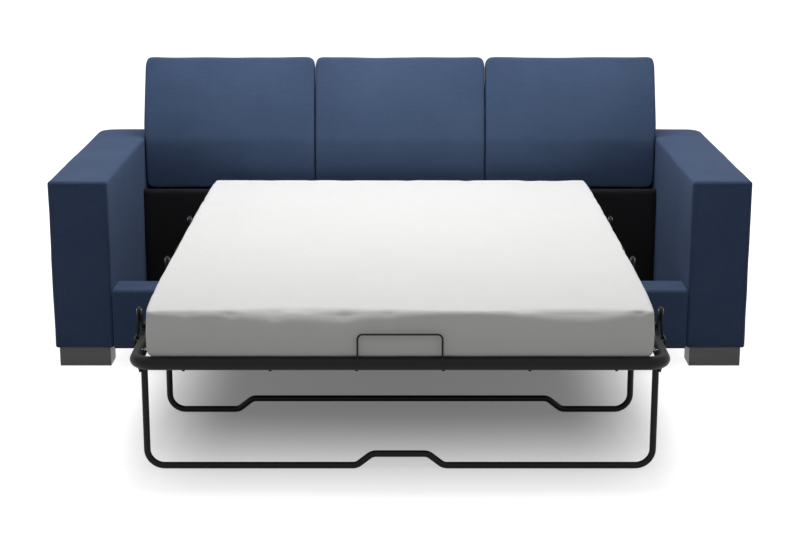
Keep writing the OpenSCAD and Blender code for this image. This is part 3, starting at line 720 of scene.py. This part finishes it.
for number, place in enumerate(("left", "middle", "right")):
    node = "back_cushion_" + place
    low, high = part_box(node)
    width = high[0] - low[0]
    bm, pinned = cushion_shell(width, 50 + 7 * number)
    cushion = mesh_object("fibre_filled_cushion_" + place, bm, cushion_cloth_painted_lighter)
    swell(cushion, pinned, pressure=4.0, frames=20, limit=0.026)
    # The filled sides just touch their neighbours, and an outer one swells over the arm's top.
    # The lower front rolls under, and the panels are a little slack.
    widest = {}
    for v in cushion.data.vertices:
        band = v.co.y // BAND
        widest[band] = max(widest.get(band, 0.0), abs(v.co.x))
    for v in cushion.data.vertices:
        if CUSHION_HEIGHT - SEAM_ZONE > v.co.y > SEAM_ZONE:
            band, between = divmod(v.co.y / BAND - 0.5, 1.0)
            reach = widest[band] * (1 - between) + widest[band + 1] * between
            v.co.x *= (width / 2 + TOUCH) / reach
        outer = v.co.x * (number - 1)
        over_arm = unit((v.co.y - 0.16) / 0.06)
        if outer > swell_from:
            lower = 1.15 - v.co.y / CUSHION_HEIGHT
            v.co.x *= 1 + 0.03 * over_arm * lower * (outer - swell_from) / swell_width
        rolled = max(0.0, 1 - v.co.y / (0.36 * CUSHION_HEIGHT))
        slimmer = max(0.0, v.co.y / CUSHION_HEIGHT - 0.45) / 0.55
        if v.co.z > flat_rear:
            thin = 1 - 0.8 * rolled**1.4 - 0.28 * slimmer**1.6
            v.co.z = flat_rear + (v.co.z - flat_rear) * thin
        front = max(0.0, v.co.z) / (CUSHION_DEPTH / 2)
        slack = soft_noise((v.co.x * 1.6, v.co.y * 0.9, 0), 4.0, 60 + number)
        v.co.z += front * (0.004 * slack + 0.001 * soft_noise(v.co, 14.0, 70 + number))
    zs = [v.co.z for v in cushion.data.vertices]
    middle = (max(zs) + min(zs)) / 2
    fit = min(1.0, (CUSHION_DEPTH + 0.004) / (max(zs) - min(zs)))
    turn = Matrix.Rotation(math.radians(90) - lean, 4, "X")
    # Place of the leaning case's lower front edge, from the low corner of the cushion's box
    lower_edge = Vector((
        (low[0] + high[0]) / 2, low[1], low[2] + math.sin(lean) * CUSHION_DEPTH
    ))
    for v in cushion.data.vertices:
        v.co.z = (v.co.z - middle) * fit - CUSHION_DEPTH / 2
        v.co = turn @ v.co + lower_edge
    subdivide(cushion)
    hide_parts(node)
    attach(cushion, "sofa")


# Steel: the mounting plates on the side boards, the tubes of the bed's three sections, their
# hinge plates and the two folding legs. All are powder coated satin black after welding.

black_coat, tree, shader = new_material(
    "black_powder_coat", Coat_Weight=0.05, Coat_Roughness=0.3, Specular_IOR_Level=0.16
)
place_finish(
    tree, shader, metal, bump=0.12, distance=0.0004,
    Tone=(0.006, 0.006, 0.0066, 1), Worn=(0.014, 0.014, 0.015, 1),
    Rough=0.42, Speckle_Scale=1100.0, Wear=0.5,
)
paint(
    black_coat, "bracket_left", "bracket_right", "rear_rail_tube_left", "rear_rail_tube_right",
    "rear_cross_tubes", "rear_hinge_plates", "seat_tube_left", "seat_tube_right",
    "seat_cross_tubes", "seat_hinge_plates", "seat_leg_brackets", "foot_tube", "foot_cross_tube",
    "foot_hooks", "foot_hinge_plates", "foot_leg_brackets", "front_leg", "mid_leg",
)
for name in ("rear_hinge_plates", "seat_hinge_plates", "foot_hinge_plates"):
    soften_edges(name, 0.0006, 2)

dull_zinc, tree, shader = new_material("dull_zinc_pins", Metallic=1.0)
place_finish(
    tree, shader, metal, bump=0.08, distance=0.0003,
    Tone=(0.11, 0.11, 0.11, 1), Worn=(0.06, 0.06, 0.06, 1),
    Rough=0.42, Speckle_Scale=500.0, Wear=0.6,
)
paint(
    dull_zinc, "head_hinge_pins", "seat_hinge_pins", "foot_hinge_pins", "front_leg_pins",
    "mid_leg_pins",
)


# Decks: black woven strap cloth over the tubes, sewn with deep hems and held to the side tubes
# by rows of small zinc plated coil springs. The foot section has six more along its end.

deck_cloth = cloth_material(
    "woven_deck", (0.016, 0.016, 0.018, 1), (0.05, 0.05, 0.052, 1),
    pitch=160.0, mottle=0.8, bump=0.5, sheen=0.0, tint=(0.5, 0.5, 0.5, 1),
)
paint(deck_cloth, "rear_deck", "seat_deck", "foot_deck")

# Radii of a spring's coil and of its wire, and the number of turns
COIL, WIRE, TURNS = 0.0038, 0.0008, 6
# How far a spring ends inside the outer side of its tube, and inside the deck's hem
HOOK_IN, INTO_HEM = 0.0245, 0.003


def add_spring(bm, start, end):
    """A coil spring between two points, with a straight tail at each end."""
    axis = end - start
    length = axis.length
    along = axis.normalized()
    side = along.cross(Vector((0, 0, 1))).normalized()
    up = side.cross(along)
    path = [start.copy()]
    per_turn = 12
    steps = TURNS * per_turn
    tail = 0.22 * length
    for k in range(steps + 1):
        angle = 2 * math.pi * k / per_turn
        centre = start + along * (tail + (length - 2 * tail) * k / steps)
        path.append(centre + COIL * (side * math.cos(angle) + up * math.sin(angle)))
    path.append(end.copy())
    rows = []
    for i, point in enumerate(path):
        direction = (path[min(i + 1, len(path) - 1)] - path[max(i - 1, 0)]).normalized()
        across = direction.cross(along)
        across = across.normalized() if across.length > 0.05 else side
        rising = direction.cross(across).normalized()
        rows.append(add_ring(bm, point, WIRE, across, rising, sides=6))
    add_skin(bm, rows)
    bm.faces.new(rows[0])
    bm.faces.new(list(reversed(rows[-1])))


def grouped(values, gap=0.02):
    """Middles of the groups that a list of places falls into."""
    groups = []
    for value in sorted(values):
        if groups and value - groups[-1][-1] < gap:
            groups[-1].append(value)
        else:
            groups.append([value])
    return [(g[0] + g[-1]) / 2 for g in groups]


deck_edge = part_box("seat_deck")[1][0]
tube_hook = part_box("seat_tube_right")[1][0] - HOOK_IN
for section, body in (("rear", "sofa"), ("seat", "seat_section"), ("foot", "foot_section")):
    node = section + "_springs"
    low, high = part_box(node)
    vertices = nodes[node].data.vertices
    height = (low[2] + high[2]) / 2
    bm = bmesh.new()
    sides = [v.co.y for v in vertices if v.co.x > deck_edge + 0.012]
    for y in grouped(sides):
        for side in (-1, 1):
            inner = Vector((side * (deck_edge - INTO_HEM), y, height))
            add_spring(bm, inner, Vector((side * tube_hook, y, height)))
    if section == "foot":
        deck_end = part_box("foot_deck")[0][1]
        end_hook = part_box("foot_tube")[0][1] + HOOK_IN
        ends = [v.co.x for v in vertices if v.co.y < deck_end - 0.006 and abs(v.co.x) < 0.6]
        for x in grouped(ends):
            inner = Vector((x, deck_end + INTO_HEM, height))
            add_spring(bm, Vector((x, end_hook, height)), inner)
    springs = mesh_object(section + "_coil_springs", bm, zinc)
    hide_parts(node)
    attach(springs, body)


# Mattress: one block of foam in a soft white knitted cover, pulled over it so that small tucks form
# along its top edge. It bends at the two fold lines, so it is built whole and then divided at them;
# the part that would bend at the head end is only cut out, and nothing bends it or moves it with a
# section.

white_knit = cloth_material(
    "white_knitted_cover", (0.708, 0.704, 0.696, 1), (0.765, 0.762, 0.756, 1),
    pitch=620.0, mottle=0.5, bump=0.22, sheen=0.12, tint=(1, 1, 1, 1),
)
foot_low, foot_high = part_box("mattress_foot")
rear_low, rear_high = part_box("mattress_rear")
seat_low, seat_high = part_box("mattress_seat")
base, top = foot_low[2], foot_high[2]
# The cover's ends and sides start just inside the solids
front, rear = foot_low[1] + 0.002, rear_high[1] - 0.001
half_width = foot_high[0] - 0.001
# Radius of the outline's corners, and how far the sides stand out between the ends
CORNER, BULGE = 0.012, 0.012


def graded(low, high, spacing):
    """Grid lines that lie closer together near both ends."""
    offsets = [0.0, 0.004, 0.009, 0.015, 0.022, 0.03, 0.038]
    return (
        [low + d for d in offsets] + even(low + 0.048, high - 0.048, spacing)
        + [high - d for d in reversed(offsets)]
    )


bm, _ = boxed_case(
    graded(-half_width, half_width, 0.013), graded(front, rear, 0.014), graded(base, top, 0.012),
    CORNER,
)
mid_y, half_y = (front + rear) / 2, (rear - front) / 2
for v in bm.verts:
    x, y, z = v.co
    # Distance in from the outline, and the way out of it
    px, py = abs(x) - (half_width - CORNER), abs(y - mid_y) - (half_y - CORNER)
    if px > 0 and py > 0:
        from_edge = CORNER - math.hypot(px, py)
        out = Vector((math.copysign(px, x), math.copysign(py, y - mid_y), 0)).normalized()
    elif px > py:
        from_edge, out = CORNER - px, Vector((math.copysign(1, x), 0, 0))
    else:
        from_edge, out = CORNER - py, Vector((0, math.copysign(1, y - mid_y), 0))
    from_edge = max(0.0, from_edge)
    share = (z - base) / (top - base)
    along = Vector((x, y, 0))
    at_front = unit((front + 0.04 - y) / 0.04)
    # The cover pulls the top edge round, softly in front, and the lower edge only a little
    facing_front = max(0.0, -out.y) ** 4
    soft = unit(0.55 + 1.3 * noise.noise(Vector((x * 2.6 + 4.1, 0, 0))))
    soft *= min(1.0, (half_width - abs(x)) / 0.12)
    for level, upward, radius in (
        (top, 1, 0.007 + 0.031 * soft * facing_front), (base, -1, 0.015 - 0.009 * facing_front),
    ):
        outward = max(0.0, 1 - from_edge / radius)
        rising = max(0.0, 1 - upward * (level - z) / radius)
        if outward > 0 and rising > 0:
            v.co -= out * (radius * (1 - outward * math.sqrt(1 - rising**2 / 2)) - from_edge)
            v.co.z = level - upward * radius * (1 - rising * math.sqrt(1 - outward**2 / 2))
    # The wall stands out a little under the top edge, and wanders
    wall = max(0.0, 1 - from_edge / 0.03)
    v.co += out * wall * math.sin(math.pi * min(1.0, share * 0.85 + 0.1)) * (
        0.003 + 0.0022 * noise.noise(along * 5 + Vector((0, 0, 3)))
    )
    # Small tucks here and there along the top edge, which fade over the top and down the wall
    gather = noise.noise(along * 6.5 + Vector((5, 2, 0)))
    pinch = max(0.0, noise.noise(along * 17 + Vector((1, 8, 0))) - 0.12)
    near_top = unit((share - 0.45) / 0.45)
    fade = math.exp(-from_edge / 0.03) * (0.35 + 0.65 * at_front) * near_top
    v.co.z -= fade * (0.0015 + 0.0035 * gather + 0.012 * pinch)
    v.co -= out * fade * (0.001 + 0.002 * gather + 0.012 * pinch)
    if share > 0.98:
        inward = min(1.0, from_edge / 0.15)
        v.co.z += inward * (0.002 + 0.002 * noise.noise(along * 2.6))
        v.co.z += 0.009 * max(0.0, (y - 0.35) / (rear - 0.35)) ** 2
    if share < 0.2:
        # The cover's lower edge hangs into the gap behind the foot tube
        hang = unit((front + 0.03 - y) / 0.025) * (1 - share / 0.2)
        v.co.z -= hang * (0.0042 + 0.0012 * noise.noise(along * 12))
    # Between its ends the soft block stands out sideways, over the side tubes
    toward_end = abs(2 * (y - front) / (rear - front) - 1)
    drawn_in = 0.009 if y < mid_y else 0.015
    v.co.x *= 1 + (BULGE - drawn_in * toward_end**6) / half_width

fold_foot = (foot_high[1] + seat_low[1]) / 2
# The foot part folds back onto the mattress as far as pressed_end, and the bar lies on the last
# strip before it
pressed_end = fold_foot + (fold_foot - foot_low[1]) + 0.02
bar_strip = pressed_end - 0.04
head_start = rear_low[1] + 0.18


def divided(source, name, low_y, high_y):
    """The part of the mattress between two planes, closed with flat ends."""
    part = source.copy()
    for place, keep in ((low_y, -1), (high_y, 1)):
        if place is None:
            continue
        geometry = part.verts[:] + part.edges[:] + part.faces[:]
        cut = bmesh.ops.bisect_plane(
            part, geom=geometry, plane_co=(0, place, 0), plane_no=(0, keep, 0), clear_outer=True
        )
        rim = [e for e in cut["geom_cut"] if isinstance(e, bmesh.types.BMEdge)]
        for e in rim:
            e.smooth = False
        bmesh.ops.holes_fill(part, edges=rim, sides=0)
    return mesh_object(name, part, white_knit)


half_gap = 0.00004
mattress_foot = divided(bm, "mattress_foot_part", None, fold_foot - half_gap)
mattress_pressed = divided(bm, "mattress_seat_part", fold_foot + half_gap, bar_strip)
mattress_under_bar = divided(bm, "mattress_under_bar_part", bar_strip, pressed_end)
mattress_bend = divided(bm, "mattress_bending_part", pressed_end, head_start)
mattress_head = divided(bm, "mattress_head_part", head_start, None)
bm.free()
for piece, replaced in (
    (mattress_foot, ["mattress_foot"]), (mattress_pressed, ["mattress_seat"]),
    (mattress_under_bar, ["mattress_seat"]),
    (mattress_bend, ["mattress_seat", "mattress_rear"]), (mattress_head, ["mattress_rear"]),
):
    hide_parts(*replaced)
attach(mattress_foot, "foot_section")
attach(mattress_pressed, "seat_section")
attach(mattress_under_bar, "seat_section")
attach(mattress_head, "sofa")
# Folded, the foot part and the part under it press each other flat, and the retainer bar dents the
# strip that it lies on: these are the shares of its thickness that each one would keep. They are
# not applied here: each of these pieces only gets a mesh of its own.
PRESSED, DENTED = 0.35, 0.18
for piece, kept_share in (
    (mattress_foot, PRESSED), (mattress_pressed, PRESSED), (mattress_under_bar, DENTED),
):
    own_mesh(piece)
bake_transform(mattress_bend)


# Mattress retainer: a round steel wire bent to a low loop and welded to the foot tube, which
# stops the mattress sliding off. It is powder coated with the frame.

paint(black_coat, "retainer_bar")


# Plain studio: a pale floor, a broad soft lamp over the sofa's back, a lower one behind it for
# the head of the bed, a weak narrow one from in front on the cushions, and even light all round.


def visible_white(tree):
    """1 for what the camera and clear reflections see, or else 0."""
    seen = add_node(tree, "ShaderNodeLightPath")
    rays = math_of(tree, "ADD", seen.outputs["Is Camera Ray"], seen.outputs["Is Glossy Ray"])
    rays = math_of(tree, "ADD", rays, seen.outputs["Is Transmission Ray"])
    return math_of(tree, "MINIMUM", rays, 1.0)


floor_mesh = bpy.data.meshes.new("studio_floor")
floor_mesh.from_pydata([(-30, -20, 0), (30, -20, 0), (30, 40, 0), (-30, 40, 0)], [], [(0, 1, 2, 3)])
floor = bpy.data.objects.new("studio_floor", floor_mesh)
bpy.context.scene.collection.objects.link(floor)
floor.location.z = -0.0005
floor_finish, tree, shader = new_material("pale_floor", Roughness=0.9, Specular_IOR_Level=0.1)
shader.inputs["Base Color"].default_value = (0.4, 0.4, 0.4, 1)
shader.inputs["Emission Color"].default_value = (1, 1, 1, 1)
# Only the floor under the bed and the seat box keeps a shadow. Beside them, in front and behind, a
# glow of painted light covers the shadow up to plain white, and under them a weak glow of painted
# light lifts the shadow.
place = add_node(tree, "ShaderNodeTexCoord").outputs["Object"]
place = add_node(tree, "ShaderNodeSeparateXYZ", {0: place})
beside = math_of(tree, "ABSOLUTE", place.outputs["X"])
kept = range_of(tree, beside, 0.48, 1.0, 1.0, 0.0, smooth=True)
kept_in_front = range_of(tree, place.outputs["Y"], -1.45, -0.4, 0.0, 1.0, smooth=True)
kept = math_of(tree, "MULTIPLY", kept, kept_in_front)
kept = math_of(tree, "MULTIPLY", kept, range_of(tree, place.outputs["Y"], 0.6, 1.1, 1.0, 0.0))
# Painted light: the glow is full where no shadow is kept, and 0.16 where it is
white = range_of(tree, kept, 0.0, 1.0, 1.0, 0.16)
painted_light_glow = math_of(tree, "MULTIPLY", visible_white(tree), white)
tree.links.new(painted_light_glow, shader.inputs["Emission Strength"])
floor.data.materials.append(floor_finish)

world = bpy.data.worlds.new("studio")
bpy.context.scene.world = world
world.use_nodes = True
tree = world.node_tree
background = tree.nodes["Background"]
background.inputs["Color"].default_value = (1, 1, 1, 1)
dim = range_of(tree, visible_white(tree), 0.0, 1.0, 0.35, 1.0)
tree.links.new(dim, background.inputs["Strength"])


def soft_lamp(name, location, target, size, power):
    """A rectangular area lamp aimed at a point."""
    data = bpy.data.lights.new(name, "AREA")
    data.shape = "RECTANGLE"
    data.size, data.size_y = size
    data.energy = power
    lamp = bpy.data.objects.new(name, data)
    bpy.context.scene.collection.objects.link(lamp)
    lamp.location = location
    lamp.rotation_euler = (Vector(target) - Vector(location)).to_track_quat("-Z", "Y").to_euler()
    return lamp


soft_lamp("overhead_lamp", (0, 0.75, 5.0), (0, 0.5, 0.4), size=(2.6, 1.6), power=146)
soft_lamp("rear_lamp", (0, 1.0, 2.8), (0, 0.3, 0.46), size=(1.8, 0.8), power=20)
cushion_lamp = soft_lamp(
    "cushion_lamp", (0, -3.2, 4.0), (0, 0.85, 0.78), size=(2.4, 0.8), power=4
)
cushion_lamp.data.spread = math.radians(45)

camera_data = bpy.data.cameras.new("camera")
camera_data.lens = 77.67
camera_data.sensor_width = 36
camera = bpy.data.objects.new("camera", camera_data)
bpy.context.scene.collection.objects.link(camera)
camera.location = (0, -5.32, 1.651)
camera.rotation_euler = (math.radians(75.9), 0, 0)
bpy.context.scene.camera = camera
bpy.context.scene.view_settings.view_transform = "Standard"
